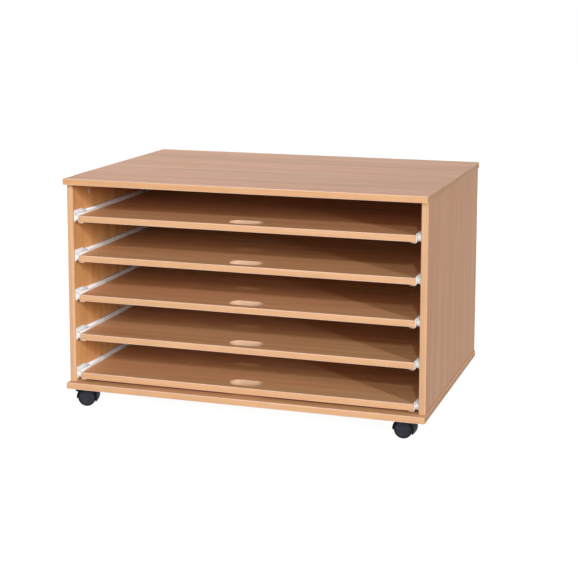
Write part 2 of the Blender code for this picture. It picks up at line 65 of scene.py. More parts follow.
def addNode(tree, kind, settings=None, **sockets):
    made = tree.nodes.new(kind)
    for key, value in (settings or {}).items():
        setattr(made, key, value)
    for key, value in sockets.items():
        socket = made.inputs[key.replace("_", " ")]
        if isinstance(value, bpy.types.NodeSocket):
            tree.links.new(value, socket)
        else:
            socket.default_value = value
    return made


def addRamp(tree, factor, stops, colours):
    made = addNode(tree, "ShaderNodeValToRGB", Fac=factor)
    bar = made.color_ramp.elements
    while len(bar) < len(stops):
        bar.new(0.5)
    for stop, place, colour in zip(bar, stops, colours):
        stop.position = place
        stop.color = (*colour, 1.0)
    return made.outputs["Color"]


def addNoise(tree, scale, detail=4.0, roughness=0.55, distortion=0.0):
    # noise on Object coordinates, with its own number of repeats a metre along each axis
    place = addNode(tree, "ShaderNodeTexCoord").outputs["Object"]
    stretched = addNode(tree, "ShaderNodeMapping", Vector=place, Scale=scale).outputs["Vector"]
    made = addNode(tree, "ShaderNodeTexNoise", Vector=stretched, Scale=1.0, Detail=detail,
                   Roughness=roughness, Distortion=distortion)
    return made.outputs["Fac"]


def addRange(tree, value, stops, ends):
    made = addNode(tree, "ShaderNodeMapRange", Value=value, From_Min=stops[0], From_Max=stops[1],
                   To_Min=ends[0], To_Max=ends[1])
    return made.outputs["Result"]


def addMix(tree, blend, factor, first, second):
    made = addNode(tree, "ShaderNodeMixRGB", {"blend_type": blend}, Fac=factor, Color1=first,
                   Color2=second)
    return made.outputs["Color"]


def newLook(name, metallic=0.0, specular=0.5):
    material = bpy.data.materials.new(name)
    material.use_nodes = True
    shader = material.node_tree.nodes["Principled BSDF"]
    shader.inputs["Metallic"].default_value = metallic
    shader.inputs["Specular IOR Level"].default_value = specular
    return material, material.node_tree, shader


def finishLook(tree, shader, colour, roughness, relief, depth, strength=0.6):
    tree.links.new(colour, shader.inputs["Base Color"])
    tree.links.new(roughness, shader.inputs["Roughness"])
    bump = addNode(tree, "ShaderNodeBump", Height=relief, Distance=depth, Strength=strength)
    tree.links.new(bump.outputs["Normal"], shader.inputs["Normal"])


# Beech-faced board: long streaks, broad bands of tone and short dark flecks, all along the grain.
# Repeats are per metre along and across the grain; a noise is its detail, roughness, distortion.
beech = {
    "tones": ((0.622, 0.275, 0.112), (0.680, 0.308, 0.128), (0.728, 0.342, 0.149)),  # dark to pale
    "streaks": (1.6, 42.0), "streakNoise": (6.0, 0.62, 0.35), "streakStops": (0.30, 0.50, 0.72),
    "bands": (0.7, 9.0), "bandNoise": (2.0,), "bandStops": (0.30, 0.70), "bandShare": 0.9,
    "bandTint": ((0.91, 0.89, 0.87), (1.05, 1.06, 1.08)),
    "patches": (1.0, 8.0), "patchNoise": (2.0,), "patchStops": (0.35, 0.65), "patchShare": 0.8,
    "patchTint": ((1.035, 0.965, 0.96), (0.97, 1.02, 0.99)),  # pinker and greener
    "flecks": (230.0, 1500.0), "fleckNoise": (2.0, 0.5), "fleckStops": (0.60, 0.74),
    "fleckShare": 0.45, "fleckTone": (0.40, 0.17, 0.07),
    "roughness": (0.50, 0.38), "roughStops": (0.3, 0.7),
    "specular": 0.40, "relief": 0.00005,
}
beechLooks = {  # axis of the grain, tint, added roughness and contrast
    # the top's copy, partly the board's own tone and partly painted sheen: paler and bluer than
    # the sides
    "beechTopPaintedSheen": (0, (1.03, 1.06, 1.18), -0.04, 1.0),
    "beechInside": (2, (0.98, 1.09, 1.01), 0.0, 2.2),
    # painted shade: the side boards' outer faces, a darker copy of the same board
    "beechOutsidePaintedShade": (2, (0.68, 0.75, 0.87), 0.08, 0.6),
    "beechShelf": (0, (1.02, 1.28, 1.55), 0.0, 1.5),
    "beechBack": (0, (0.86, 0.94, 0.96), 0.0, 1.0),
}


def beechLook(name, axis, tint, matt, contrast):
    b = beech
    material, tree, shader = newLook(name, specular=b["specular"])

    def grainNoise(repeats, noise):
        return addNoise(tree, [repeats[0] if i == axis else repeats[1] for i in range(3)], *noise)

    tones = np.multiply(b["tones"], tint)
    tones = tones[1] + contrast * (tones - tones[1])
    streaks = grainNoise(b["streaks"], b["streakNoise"])
    bands = grainNoise(b["bands"], b["bandNoise"])
    patches = grainNoise(b["patches"], b["patchNoise"])
    flecks = grainNoise(b["flecks"], b["fleckNoise"])
    grain = addRamp(tree, streaks, b["streakStops"], tones)
    shade = addRamp(tree, bands, b["bandStops"], b["bandTint"])
    hue = addRamp(tree, patches, b["patchStops"], b["patchTint"])
    shaded = addMix(tree, "MULTIPLY", b["bandShare"], grain, shade)
    toned = addMix(tree, "MULTIPLY", b["patchShare"], shaded, hue)
    marked = addRange(tree, flecks, b["fleckStops"], (0.0, b["fleckShare"]))
    colour = addMix(tree, "MIX", marked, toned, (*np.multiply(b["fleckTone"], tint), 1.0))
    rough = addRange(tree, streaks, b["roughStops"], np.add(b["roughness"], matt))
    finishLook(tree, shader, colour, rough, flecks, b["relief"])
    return material


# Plastic edging with a printed grain, lighter than the boards
edging = {
    "tones": ((0.622, 0.326, 0.155), (0.728, 0.408, 0.215)),
    "streaks": (3.0, 420.0), "streakNoise": (4.0, 0.6), "streakStops": (0.34, 0.66),
    "mottle": 26.0, "mottleDetail": 3.0,
    "wear": ((0.94, 0.93, 0.92), (1.03, 1.03, 1.04)), "wearStops": (0.25, 0.75), "wearShare": 0.7,
    "roughness": (0.30, 0.42), "roughStops": (0.3, 0.7), "relief": 0.00003,
}
edgingLooks = {  # axes across the print's streaks, tint, added roughness and specular level
    "edgingLevel": ((2,), (1.00, 0.98, 0.91), 0.0, 0.5),
    "edgingLow": ((2,), (1.03, 1.07, 1.08), 0.0, 0.5),
    "edgingSidePaintedShade": ((2,), (0.62, 0.61, 0.58), 0.18, 0.25),  # painted shade: darker on the sides of top and base
    "edgingSlot": ((2,), (1.04, 1.27, 1.66), 0.0, 0.5),
    "edgingUpright": ((0, 1), (1.00, 1.05, 1.13), 0.0, 0.5),
    "edgingArrisPaintedHighlight": ((2,), (1.20, 1.49, 2.20), -0.06, 0.5),  # painted highlight: paler on the round corners, where the arris catches the light
    # painted highlight on the round corners of the sides of top and base
    "sideArrisPaintedHighlight": ((2,), (1.00, 1.06, 1.20), 0.12, 0.3),
}


def edgingLook(name, across, tint, matt, specular):
    # the print's streaks are thin across the given axes and long along the rest
    e = edging
    material, tree, shader = newLook(name, specular=specular)
    repeats = [e["streaks"][1 if i in across else 0] for i in range(3)]
    streaks = addNoise(tree, repeats, *e["streakNoise"])
    mottle = addNoise(tree, [e["mottle"]] * 3, e["mottleDetail"])
    grain = addRamp(tree, streaks, e["streakStops"], np.multiply(e["tones"], tint))
    wear = addRamp(tree, mottle, e["wearStops"], e["wear"])
    colour = addMix(tree, "MULTIPLY", e["wearShare"], grain, wear)
    rough = addRange(tree, mottle, e["roughStops"], np.add(e["roughness"], matt))
    finishLook(tree, shader, colour, rough, streaks, e["relief"])
    return material


# Coatings, mouldings and plated steel: two tones, a roughness range and a fine relief each
finishes = {
    "whiteEpoxy": {"tones": ((0.86, 0.90, 0.96), (0.92, 0.95, 0.99)), "mottle": 45,
                   "grain": 900, "roughness": (0.28, 0.42), "relief": 0.00004},
    # painted shade: the channels' white coating made greyer for the shelf angles
    "greyedEpoxyPaintedShade": {"tones": ((0.77, 0.755, 0.735), (0.85, 0.835, 0.815)), "mottle": 45,
                   "grain": 900, "roughness": (0.30, 0.44), "relief": 0.00004},
    "beigeCap": {"tones": ((0.66, 0.44, 0.30), (0.74, 0.50, 0.35)), "mottle": 90,
                 "grain": 1400, "roughness": (0.40, 0.54), "relief": 0.00003},
    "whiteNylon": {"tones": ((0.88, 0.86, 0.84), (0.94, 0.925, 0.905)), "mottle": 120,
                   "grain": 1500, "roughness": (0.38, 0.52), "relief": 0.00003},
    "castZinc": {"tones": ((0.52, 0.51, 0.49), (0.68, 0.67, 0.64)), "mottle": 240,
                 "grain": 1600, "roughness": (0.34, 0.50), "relief": 0.00005},
    "zincPlate": {"tones": ((0.50, 0.51, 0.54), (0.70, 0.71, 0.72)), "mottle": 160,
                  "grain": 1100, "roughness": (0.24, 0.44), "relief": 0.00003, "metallic": 1.0},
    "blackMoulding": {"tones": ((0.004, 0.004, 0.005), (0.009, 0.009, 0.010)), "mottle": 90,
                      "grain": 2600, "roughness": (0.46, 0.60), "relief": 0.00006,
                      "specular": 0.08},
    "wheelDisc": {"tones": ((0.018, 0.020, 0.029), (0.027, 0.030, 0.041)), "mottle": 70,
                  "grain": 2000, "roughness": (0.42, 0.56), "relief": 0.00005,
                  "specular": 0.18},
    "wheelTread": {"tones": ((0.010, 0.010, 0.013), (0.018, 0.018, 0.022)), "mottle": 140,
                   "grain": 1800, "roughness": (0.55, 0.72), "relief": 0.00008,
                   "specular": 0.15},
}
cloudStops, grainDetail = (0.3, 0.7), 2.0


def plainLook(name, tones, mottle, grain, roughness, relief, metallic=0.0, specular=0.45):
    material, tree, shader = newLook(name, metallic, specular)
    clouds = addNoise(tree, [mottle] * 3)
    colour = addRamp(tree, clouds, cloudStops, tones)
    rough = addRange(tree, clouds, cloudStops, roughness)
    finishLook(tree, shader, colour, rough, addNoise(tree, [grain] * 3, grainDetail), relief)
    return material


looks = {name: plainLook(name, **finish) for name, finish in finishes.items()}
looks.update({name: beechLook(name, *look) for name, look in beechLooks.items()})
looks.update({name: edgingLook(name, *look) for name, look in edgingLooks.items()})
print("looks:", ", ".join(looks))


# Meshes from grids of points

def gridShell(points, wrapRows=False, wrapColumns=True, caps=False):
    # quads between neighbours of a grid, closed round where it wraps;
    # caps closes its first and last row
    rows, columns = points.shape[:2]
    i, j = np.meshgrid(np.arange(rows if wrapRows else rows - 1),
                       np.arange(columns if wrapColumns else columns - 1), indexing="ij")
    here, below, beside = i * columns, (i + 1) % rows * columns, (j + 1) % columns
    quads = np.stack([here + j, here + beside, below + beside, below + j], axis=-1)
    ends = [np.arange(columns), np.arange(columns) + (rows - 1) * columns] if caps else []
    return points.reshape(-1, 3), quads.reshape(-1, 4), ends


def moveShells(shells, turn, place):
    return [(points @ turn + place, quads, ends) for points, quads, ends in shells]


def cleanMesh(mesh, within=1e-6, outward=True):
    # merges doubles, takes out slivers and turns the faces outwards
    bm = bmesh.new()
    bm.from_mesh(mesh)
    bmesh.ops.remove_doubles(bm, verts=bm.verts, dist=within)
    bmesh.ops.dissolve_degenerate(bm, edges=bm.edges, dist=within)
    if outward:
        bmesh.ops.recalc_face_normals(bm, faces=bm.faces)
    bm.to_mesh(mesh)
    bm.free()
    return mesh


def meshOf(shells, outward=True):
    starts = np.cumsum([0] + [len(points) for points, quads, ends in shells])
    faces = []
    for (points, quads, ends), start in zip(shells, starts):
        faces += (quads + start).tolist() + [(end + start).tolist() for end in ends]
    mesh = bpy.data.meshes.new("surface")
    vertices = np.concatenate([points for points, quads, ends in shells])
    mesh.from_pydata(vertices.tolist(), [], faces)
    return cleanMesh(mesh, outward=outward)


def newPiece(name, mesh, look, body, nodes=(), sharp=35):
    mesh.name = name
    mesh.materials.clear()
    mesh.materials.append(looks[look])
    mesh.shade_smooth()
    mesh.set_sharp_from_angle(angle=math.radians(sharp))
    piece = bpy.data.objects.new(name, mesh)
    bpy.context.scene.collection.objects.link(piece)
    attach(piece, body)
    if nodes:
        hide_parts(*nodes)
    return piece


def secondLook(piece, look, direction, within=45):
    # faces that look along the direction, give or take some degrees, have another look
    polygons, places = piece.data.polygons, piece.data.materials
    facing = np.empty(3 * len(polygons))
    polygons.foreach_get("normal", facing)
    aim = np.asarray(direction, float) / np.linalg.norm(direction)
    chosen = facing.reshape(-1, 3) @ aim > math.cos(math.radians(within))
    if look not in places:
        places.append(looks[look])
    indices = np.empty(len(chosen), np.int32)
    polygons.foreach_get("material_index", indices)
    polygons.foreach_set("material_index", np.where(chosen, places.find(look), indices))


def joinedMesh(first, joins, cuts, within=1e-5):
    # one moulding: the first surface with others joined to it, and then holes taken out
    block = bpy.data.objects.new("block", first)
    tools = []
    for operation, meshes in (("UNION", joins), ("DIFFERENCE", cuts)):
        for mesh in meshes:
            tools.append(bpy.data.objects.new("tool", mesh))
            step = block.modifiers.new(operation, "BOOLEAN")
            step.operation = operation
            step.solver = "EXACT"
            step.object = tools[-1]
    for thing in (block, *tools):
        bpy.context.scene.collection.objects.link(thing)
    finished = block.evaluated_get(bpy.context.evaluated_depsgraph_get())
    made = bpy.data.meshes.new_from_object(finished)
    for thing in (block, *tools):
        bpy.data.objects.remove(thing)
    return cleanMesh(made, within)


def arcOf(centre, radius, start, end, steps):
    # points on a circle from one angle to another, in degrees
    angle = np.radians(np.linspace(start, end, steps + 1))
    return np.stack([centre[0] + radius * np.cos(angle), centre[1] + radius * np.sin(angle)],
                    axis=1)


def turnedShell(profile, origin, axis, side, steps=48):
    # a profile of (radius, height) turned about an axis: origin + height * axis + radius * spoke;
    # a profile that starts off the axis makes a ring
    profile, axis, side = (np.asarray(values, float) for values in (profile, axis, side))
    angle = np.linspace(0, math.tau, steps, endpoint=False)[:, None, None]
    spoke = np.cos(angle) * side + np.sin(angle) * np.cross(axis, side)
    points = np.asarray(origin) + profile[:, 1, None] * axis + profile[:, 0, None] * spoke
    return gridShell(points, wrapRows=True, wrapColumns=bool(profile[0, 0] > 0))


def carried(section, axes, along):
    # a flat section on two axes, repeated at each place along the third
    points = np.empty((len(along), len(section), 3))
    points[:, :, list(axes)] = section
    points[:, :, 3 - sum(axes)] = np.asarray(along)[:, None]
    return points


def overRun(rise, run, tiny=1e-9):
    # a length divided by a share of it, safe where the share is nought
    return rise / np.maximum(np.abs(run), tiny)


def reachRoundEnd(angle, straight, radius):
    # how far a ray from the middle of a round-ended outline runs to it:
    # to a flat side, or to the round end
    run, rise = np.abs(np.cos(angle)), np.abs(np.sin(angle))
    toSide = overRun(radius, rise)
    toEnd = straight * run + np.sqrt(np.maximum(radius ** 2 - (straight * rise) ** 2, 0))
    return np.where(toSide * run <= straight, toSide, toEnd)


# Carcass: board cores with a groove for the back, and edging strips glued on
board = {"strip": 0.002, "round": 0.0018, "seam": 0.00015, "play": 0.0003, "arcSteps": 5,
         "highlightSpread": 40}
backLow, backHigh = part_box("back_panel")


def stripSection(low, high):
    # section of an edging strip as (distance from the core, height), its two outer corners round
    thick, radius, seam, steps = (board[key] for key in ("strip", "round", "seam", "arcSteps"))
    return np.concatenate([
        [(0, low + seam), (seam, low)],
        arcOf((thick - radius, low + radius), radius, -90, 0, steps),
        arcOf((thick - radius, high - radius), radius, 0, 90, steps),
        [(seam, high), (0, high - seam)],
    ])


def edgingLoop(low, high):
    # the strip's section carried round a board, turning a quarter about each corner of the core
    thick, steps = board["strip"], board["arcSteps"]
    core = [(high.x - thick, high.y - thick), (low.x + thick, high.y - thick),
            (low.x + thick, low.y + thick), (high.x - thick, low.y + thick)]
    quarters = [np.linspace(start, start + 90, steps + 1) for start in (0, 90, 180, 270)]
    angle = np.radians(np.concatenate(quarters))
    outward = np.stack([np.cos(angle), np.sin(angle)], axis=1)
    section = stripSection(low.z, high.z)
    points = np.empty((len(angle), len(section), 3))
    corner = np.repeat(core, steps + 1, axis=0)
    points[:, :, :2] = corner[:, None] + section[:, :1] * outward[:, None]
    points[:, :, 2] = section[:, 1]
    return gridShell(points, wrapRows=True)


def paintArrisHighlight(rim, sideLook="edgingArrisPaintedHighlight"):
    # a painted highlight: the rounded corners above and below, all the way round, take a paler
    # look
    for x, y, look in ((0, -1, "edgingArrisPaintedHighlight"), (0, 1, "edgingArrisPaintedHighlight"),
                       (1, 0, sideLook), (-1, 0, sideLook)):
        for z in (-1, 1):
            secondLook(rim, look, (x, y, z), board["highlightSpread"])


def levelBoard(name, look, rimLook, grooveUp):
    # top and base: a grooved section of (y, z) carried along x, eased where the edging meets it
    low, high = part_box(name)
    thick, seam, play = board["strip"], board["seam"], board["play"]
    near, far = low.y + thick, high.y - thick
    grooveNear, grooveFar = backLow.y - play, backHigh.y + play
    floor = low.z + high.z - backLow.z + play if grooveUp else backHigh.z + play
    section = np.array([
        (near, low.z + seam), (near + seam, low.z), (grooveNear, low.z), (grooveNear, floor),
        (grooveFar, floor), (grooveFar, low.z), (far - seam, low.z), (far, low.z + seam),
        (far, high.z - seam), (far - seam, high.z), (near + seam, high.z), (near, high.z - seam),
    ])
    if grooveUp:
        section[:, 1] = low.z + high.z - section[:, 1]
    left, right = low.x + thick, high.x - thick
    points = carried(section, (1, 2), (left, left + seam, right - seam, right))
    points[[0, -1], :, 2] = np.clip(points[[0, -1], :, 2], low.z + seam, high.z - seam)
    core = meshOf([gridShell(points, caps=True)])
    newPiece(name + "_core", core, look, "cabinet", [name])
    loop = meshOf([edgingLoop(low, high)])
    rim = newPiece(name + "_edging", loop, rimLook, "cabinet", [name])
    # the sides of the strip take the painted shade, and its round corners the painted highlight
    secondLook(rim, "edgingSidePaintedShade", (1, 0, 0))
    secondLook(rim, "edgingSidePaintedShade", (-1, 0, 0))
    paintArrisHighlight(rim, "sideArrisPaintedHighlight")


def sideBoard(name, inward):
    # sides: a grooved section of (x, y) carried up z, with a strip on the front and rear edge
    low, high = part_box(name)
    thick, seam, play = board["strip"], board["seam"], board["play"]
    inner, backEdge = (high.x, backLow.x) if inward > 0 else (low.x, backHigh.x)
    width = high.x - low.x
    depth = abs(backEdge - inner) + play
    near, far = low.y + thick, high.y - thick
    grooveNear, grooveFar = backLow.y - play, backHigh.y + play
    section = np.array([
        (seam, near), (width - seam, near), (width, near + seam), (width, far - seam),
        (width - seam, far), (seam, far), (0, far - seam), (0, grooveFar), (depth, grooveFar),
        (depth, grooveNear), (0, grooveNear), (0, near + seam),
    ])
    section[:, 0] = inner - inward * section[:, 0]
    ends = (low.z, high.z)
    core = meshOf([gridShell(carried(section, (0, 1), ends), caps=True)])
    piece = newPiece(name + "_core", core, "beechInside", "cabinet", [name])
    # the outer face takes the darker copy of the board: painted shade
    secondLook(piece, "beechOutsidePaintedShade", (-inward, 0, 0))
    for end, edge, outward in (("front", near, -1), ("rear", far, 1)):
        strip = stripSection(low.x, high.x)[:, ::-1] * (1, outward) + (0, edge)
        mesh = meshOf([gridShell(carried(strip, (0, 1), ends), caps=True)])
        newPiece(f"{name}_edging_{end}", mesh, "edgingUpright", "cabinet",
                 [name])


def dressNode(name, look):
    # a node whose shape stays takes one of the looks
    slots = frame["nodes"][name].data.materials
    slots.clear()
    slots.append(looks[look])


# the top takes the paler, bluer copy with its painted sheen
levelBoard("top_panel", "beechTopPaintedSheen", "edgingLevel", False)
levelBoard("base_panel", "beechShelf", "edgingLow", True)
for side, inward in inwardOf.items():
    sideBoard(f"{side}_side_panel", inward)
dressNode("back_panel", "beechBack")
print("carcass: top, base, sides and back, edged")


# Shelves: a board round a finger slot, edged outside and lined inside
fingerSlot = {"half": 0.0475, "radius": 0.0255, "strip": 0.0235, "lining": 0.0016,
              "mouth": 0.0014, "mouthSteps": 5, "arcSteps": 20}


def shelfCore(low, high, middle, straight):
    # on each ray from the slot's middle: out from the slot under the board, up its edge, and back
    thick, seam = board["strip"], board["seam"]
    near, far = low.y + thick - middle[1], high.y - thick - middle[1]
    half = high.x - thick - middle[0]
    corners = np.arctan2([near, near, far, far], [-half, half, half, -half])
    even = np.linspace(-math.pi, math.pi, 8 * fingerSlot["arcSteps"], endpoint=False)
    angle = np.sort(np.concatenate([even, corners]))
    run, rise = np.cos(angle), np.sin(angle)
    edge = np.minimum(overRun(half, run), overRun(np.where(rise < 0, -near, far), rise))
    hole = reachRoundEnd(angle, straight, fingerSlot["radius"] + fingerSlot["lining"])
    eased = edge * (1 - seam / half)
    reach = np.stack([hole, eased, edge, edge, eased, hole], axis=1)
    points = np.empty(reach.shape + (3,))
    points[:, :, :2] = middle + reach[:, :, None] * np.stack([run, rise], axis=1)[:, None]
    points[:, :, 2] = (low.z, low.z, low.z + seam, high.z - seam, high.z, high.z)
    return gridShell(points, wrapRows=True)


def slotLining(low, high, middle, straight):
    # a thin band with rounded mouths, carried round the slot
    steps, mouth, lining = fingerSlot["arcSteps"], fingerSlot["mouth"], fingerSlot["lining"]
    turn = np.radians(np.concatenate([np.linspace(-90, 90, steps + 1),
                                      np.linspace(90, 270, steps + 1)]))
    outward = np.stack([np.cos(turn), np.sin(turn)], axis=1)
    sideways = np.repeat([straight, -straight], steps + 1)
    centre = middle + np.stack([sideways, np.zeros_like(sideways)], axis=1)
    band = np.concatenate([
        arcOf((mouth, high.z - mouth), mouth, 90, 180, fingerSlot["mouthSteps"]),
        arcOf((mouth, low.z + mouth), mouth, 180, 270, fingerSlot["mouthSteps"]),
        [(lining, low.z), (lining, high.z)],
    ])
    points = np.empty((len(turn), len(band), 3))
    points[:, :, :2] = centre[:, None] + (fingerSlot["radius"] + band[:, :1]) * outward[:, None]
    points[:, :, 2] = band[:, 1]
    return gridShell(points, wrapRows=True)


def shelfBoard(name):
    low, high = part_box(name)
    straight = fingerSlot["half"] - fingerSlot["radius"]
    middle = np.array([(low.x + high.x) / 2, low.y + fingerSlot["strip"] + fingerSlot["radius"]])
    core = meshOf([shelfCore(low, high, middle, straight)])
    newPiece(name + "_core", core, "beechShelf", name, [name])
    loop = meshOf([edgingLoop(low, high)])
    # the round corners of the shelf's strip take the painted highlight
    paintArrisHighlight(newPiece(name + "_edging", loop, "edgingLow", name, [name]))
    lining = meshOf([slotLining(low, high, middle, straight)])
    newPiece(name + "_slot_lining", lining, "edgingSlot", name, [name])


for name in shelfNames:
    shelfBoard(name)
print("shelves:", ", ".join(shelfNames))


# Screws: low round heads with a crossed recess, seated on a face
screwShape = {  # the crown's height at each share of the radius, and the arms of the cross
    "share": (0, 0.1, 0.2, 0.3, 0.4, 0.5, 0.62, 0.7, 0.82, 0.93, 1, 1, 0),
    "crown": (1, 1, 1, 1, 1, 0.99, 0.97, 0.95, 0.88, 0.7, 0.35, -0.3, -0.3),
    "armHalf": 0.14, "armReach": 0.65, "recess": 0.7, "steps": 48,
}


def screwHead(origin, normal, side, radius, rise, recess=screwShape["recess"]):
    # a turned head whose height drops by the recess inside either arm of the cross
    share, crown = np.array(screwShape["share"]), np.array(screwShape["crown"])
    angle = np.linspace(0, math.tau, screwShape["steps"], endpoint=False)[:, None]
    across, along = share * np.cos(angle), share * np.sin(angle)
    cross = np.minimum(np.abs(across), np.abs(along)) < screwShape["armHalf"]
    arm = cross & (share < screwShape["armReach"]) & (crown > 0)
    height = rise * (crown - recess * arm)
    normal, side = np.asarray(normal, float), np.asarray(side, float)
    flat = across[..., None] * side + along[..., None] * np.cross(normal, side)
    points = np.asarray(origin) + radius * flat + height[..., None] * normal
    return gridShell(points, wrapRows=True, wrapColumns=False)


# Roller runners: channels on the sides, angles on the shelves, both folded from coated sheet
runner = {"sheet": 0.0012, "bend": 0.0018, "bendSteps": 5, "stations": 9}
channel = {
    "seat": 0.0003, "reach": 0.0112, "bottom": 0.003, "top": 0.026, "lip": 0.0037,  # section
    "headTop": 0.032, "headBottom": -0.001, "corner": 0.0045, "cornerSteps": 6,  # front plate
    "lowCorner": 0.4, "rows": 4,
    "noseEnd": 0.013, "start": 0.025, "headEnd": 0.045, "slopeEnd": 0.060,  # along the rail
    "screws": (0.037, 0.256, 0.480), "screwLevel": 0.0145, "screwRadius": 0.0036,
    "screwRise": 0.00025,
}
angleRail = {
    "web": 0.0137, "top": 0.0219, "flange": 0.0021, "foot": 0.0277, "under": -0.0003,
    "lip": 0.003, "tail": 0.0255,
    "screws": (0.030, 0.290, 0.560), "screwLine": 0.0205, "screwRadius": 0.0034,
    "screwRise": 0.0009,
}
roller = {
    "radius": 0.010, "round": 0.0012, "roundSteps": 5, "bore": 0.0033, "start": 0.0021,
    "frontEnd": 0.0108, "rearEnd": 0.0094, "rearRecess": 0.0014, "recessEdge": (0.0054, 0.0058),
    "groove": ((0.0084, 0), (0.0080, 0.0005), (0.0056, 0.0005), (0.0052, 0)),  # radius and depth
    "frontAxis": 0.013, "frontLevel": 0.0104, "rearAxis": 0.586, "rearLevel": 0.0145,
}
rivet = {
    "shank": 0.003, "head": 0.0045, "crown": ((1, 0.4), (0.75, 0.9), (0.4, 1)),  # shares
    "frontSeat": 0.0111, "frontEnd": 0.0119, "rearSeat": 0.0034, "rearEnd": 0.0026,
    "channelWeb": 0.0012, "angleWeb": 0.0130,
}


def ruledStrip(lower, upper, stations):
    # flat strip of (inwards, along, up) against the side panel, ruled from a lower to an upper
    # height
    share = np.linspace(0, 1, channel["rows"])
    points = np.empty((len(stations), len(share), 3))
    points[:, :, 0] = channel["seat"]
    points[:, :, 1] = stations[:, None]
    points[:, :, 2] = lower[:, None] * (1 - share) + upper[:, None] * share
    return points


def channelSkins(length):
    # outer skin of the channel: a web whose front plate is taller, and a folded flange and lip
    # above and below
    c, bend, steps = channel, runner["bend"], runner["bendSteps"]
    quarter = np.radians(np.linspace(0, 90, c["cornerSteps"] + 1))
    stations = np.unique(np.concatenate([
        c["corner"] * (1 - np.cos(quarter)), [c["noseEnd"], c["start"], c["headEnd"]],
        np.linspace(c["slopeEnd"], length, runner["stations"]),
    ]))
    toCorner = np.maximum(c["corner"] - stations, 0)
    eased = c["corner"] - np.sqrt(c["corner"] ** 2 - toCorner ** 2)
    upper = np.interp(stations, (c["headEnd"], c["slopeEnd"]), (c["headTop"], c["top"])) - eased
    lower = np.interp(stations, (c["noseEnd"], c["start"]), (c["headBottom"], c["bottom"]))
    lower = lower + eased * c["lowCorner"]
    lowFold = np.full(len(stations), c["bottom"] + bend)
    topFold = np.full(len(stations), c["top"] - bend)
    nose, head = stations <= c["start"], stations <= c["slopeEnd"]
    folded = np.concatenate([
        arcOf((c["seat"] + bend, c["bottom"] + bend), bend, 180, 270, steps),
        arcOf((c["reach"] - bend, c["bottom"] + bend), bend, 270, 360, steps),
        [(c["reach"], c["bottom"] + c["lip"])],
    ])
    flipped = folded * (1, -1) + (0, c["bottom"] + c["top"])
    return [ruledStrip(lower[nose], lowFold[nose], stations[nose]),
            ruledStrip(lowFold, topFold, stations),
            ruledStrip(topFold[head], upper[head], stations[head]),
            carried(folded, (0, 2), stations[stations >= c["start"]])[:, ::-1],
            carried(flipped, (0, 2), stations[stations >= c["slopeEnd"]])]


def angleSkins(length):
    # outer skin of the angle: a foot with a lip under the shelf, a web beside it, and a flange
    # over the front roller
    a, steps = angleRail, runner["bendSteps"]
    outer, inner = runner["bend"], runner["bend"] - runner["sheet"]
    stations = np.append(np.linspace(0, length - a["tail"], runner["stations"]), length)
    web = np.concatenate([
        [(a["foot"], a["under"])],
        arcOf((a["web"] + inner, a["under"] + inner), inner, 270, 180, steps),
        [(a["web"], a["top"] - outer)],
    ])
    flange = np.concatenate([
        arcOf((a["web"] - outer, a["top"] - outer), outer, 0, 90, steps),
        [(a["flange"], a["top"])],
    ])
    lip = np.array([[(inner + a["web"], 0, level), (a["foot"], 0, level)]
                    for level in (a["under"] - a["lip"], a["under"])])
    return [carried(web, (0, 2), stations)[:, ::-1],
            carried(flange, (0, 2), stations[:-1])[:, ::-1], lip]


def foldedSheet(name, skins, inward, place, look, body, node):
    # the skins are merged along their shared edges, and the wall grows inwards from them
    turn = np.diag([inward, 1.0, 1.0])
    shells = [gridShell(skin if inward > 0 else skin[:, ::-1], wrapColumns=False)
              for skin in skins]
    mesh = meshOf(moveShells(shells, turn, place), outward=False)
    piece = newPiece(name, mesh, look, body, [node])
    wall = piece.modifiers.new("wall", "SOLIDIFY")
    wall.thickness = runner["sheet"]
    wall.offset = -1
    wall.use_even_offset = True
    return piece


def rollerProfile(end, recess):
    # a ring with round shoulders, dished round its rivet's head
    radius, start, bore = roller["radius"], roller["start"], roller["bore"]
    r, steps = roller["round"], roller["roundSteps"]
    recessIn, recessOut = roller["recessEdge"]
    return np.concatenate([
        [(bore, start + recess), (recessIn, start + recess), (recessOut, start)],
        arcOf((radius - r, start + r), r, -90, 0, steps),
        arcOf((radius - r, end - r), r, 0, 90, steps),
        [(ring, end - depth) for ring, depth in roller["groove"]], [(bore, end)],
    ])


def rivetProfile(foot, seat, end):
    # a shank from the sheet, and a low domed head
    shank, head = rivet["shank"], rivet["head"]
    dome = [(wide * head, seat + high * (end - seat)) for wide, high in rivet["crown"]]
    return [(0, foot), (shank, foot), (shank, seat), (head, seat), *dome, (0, end)]


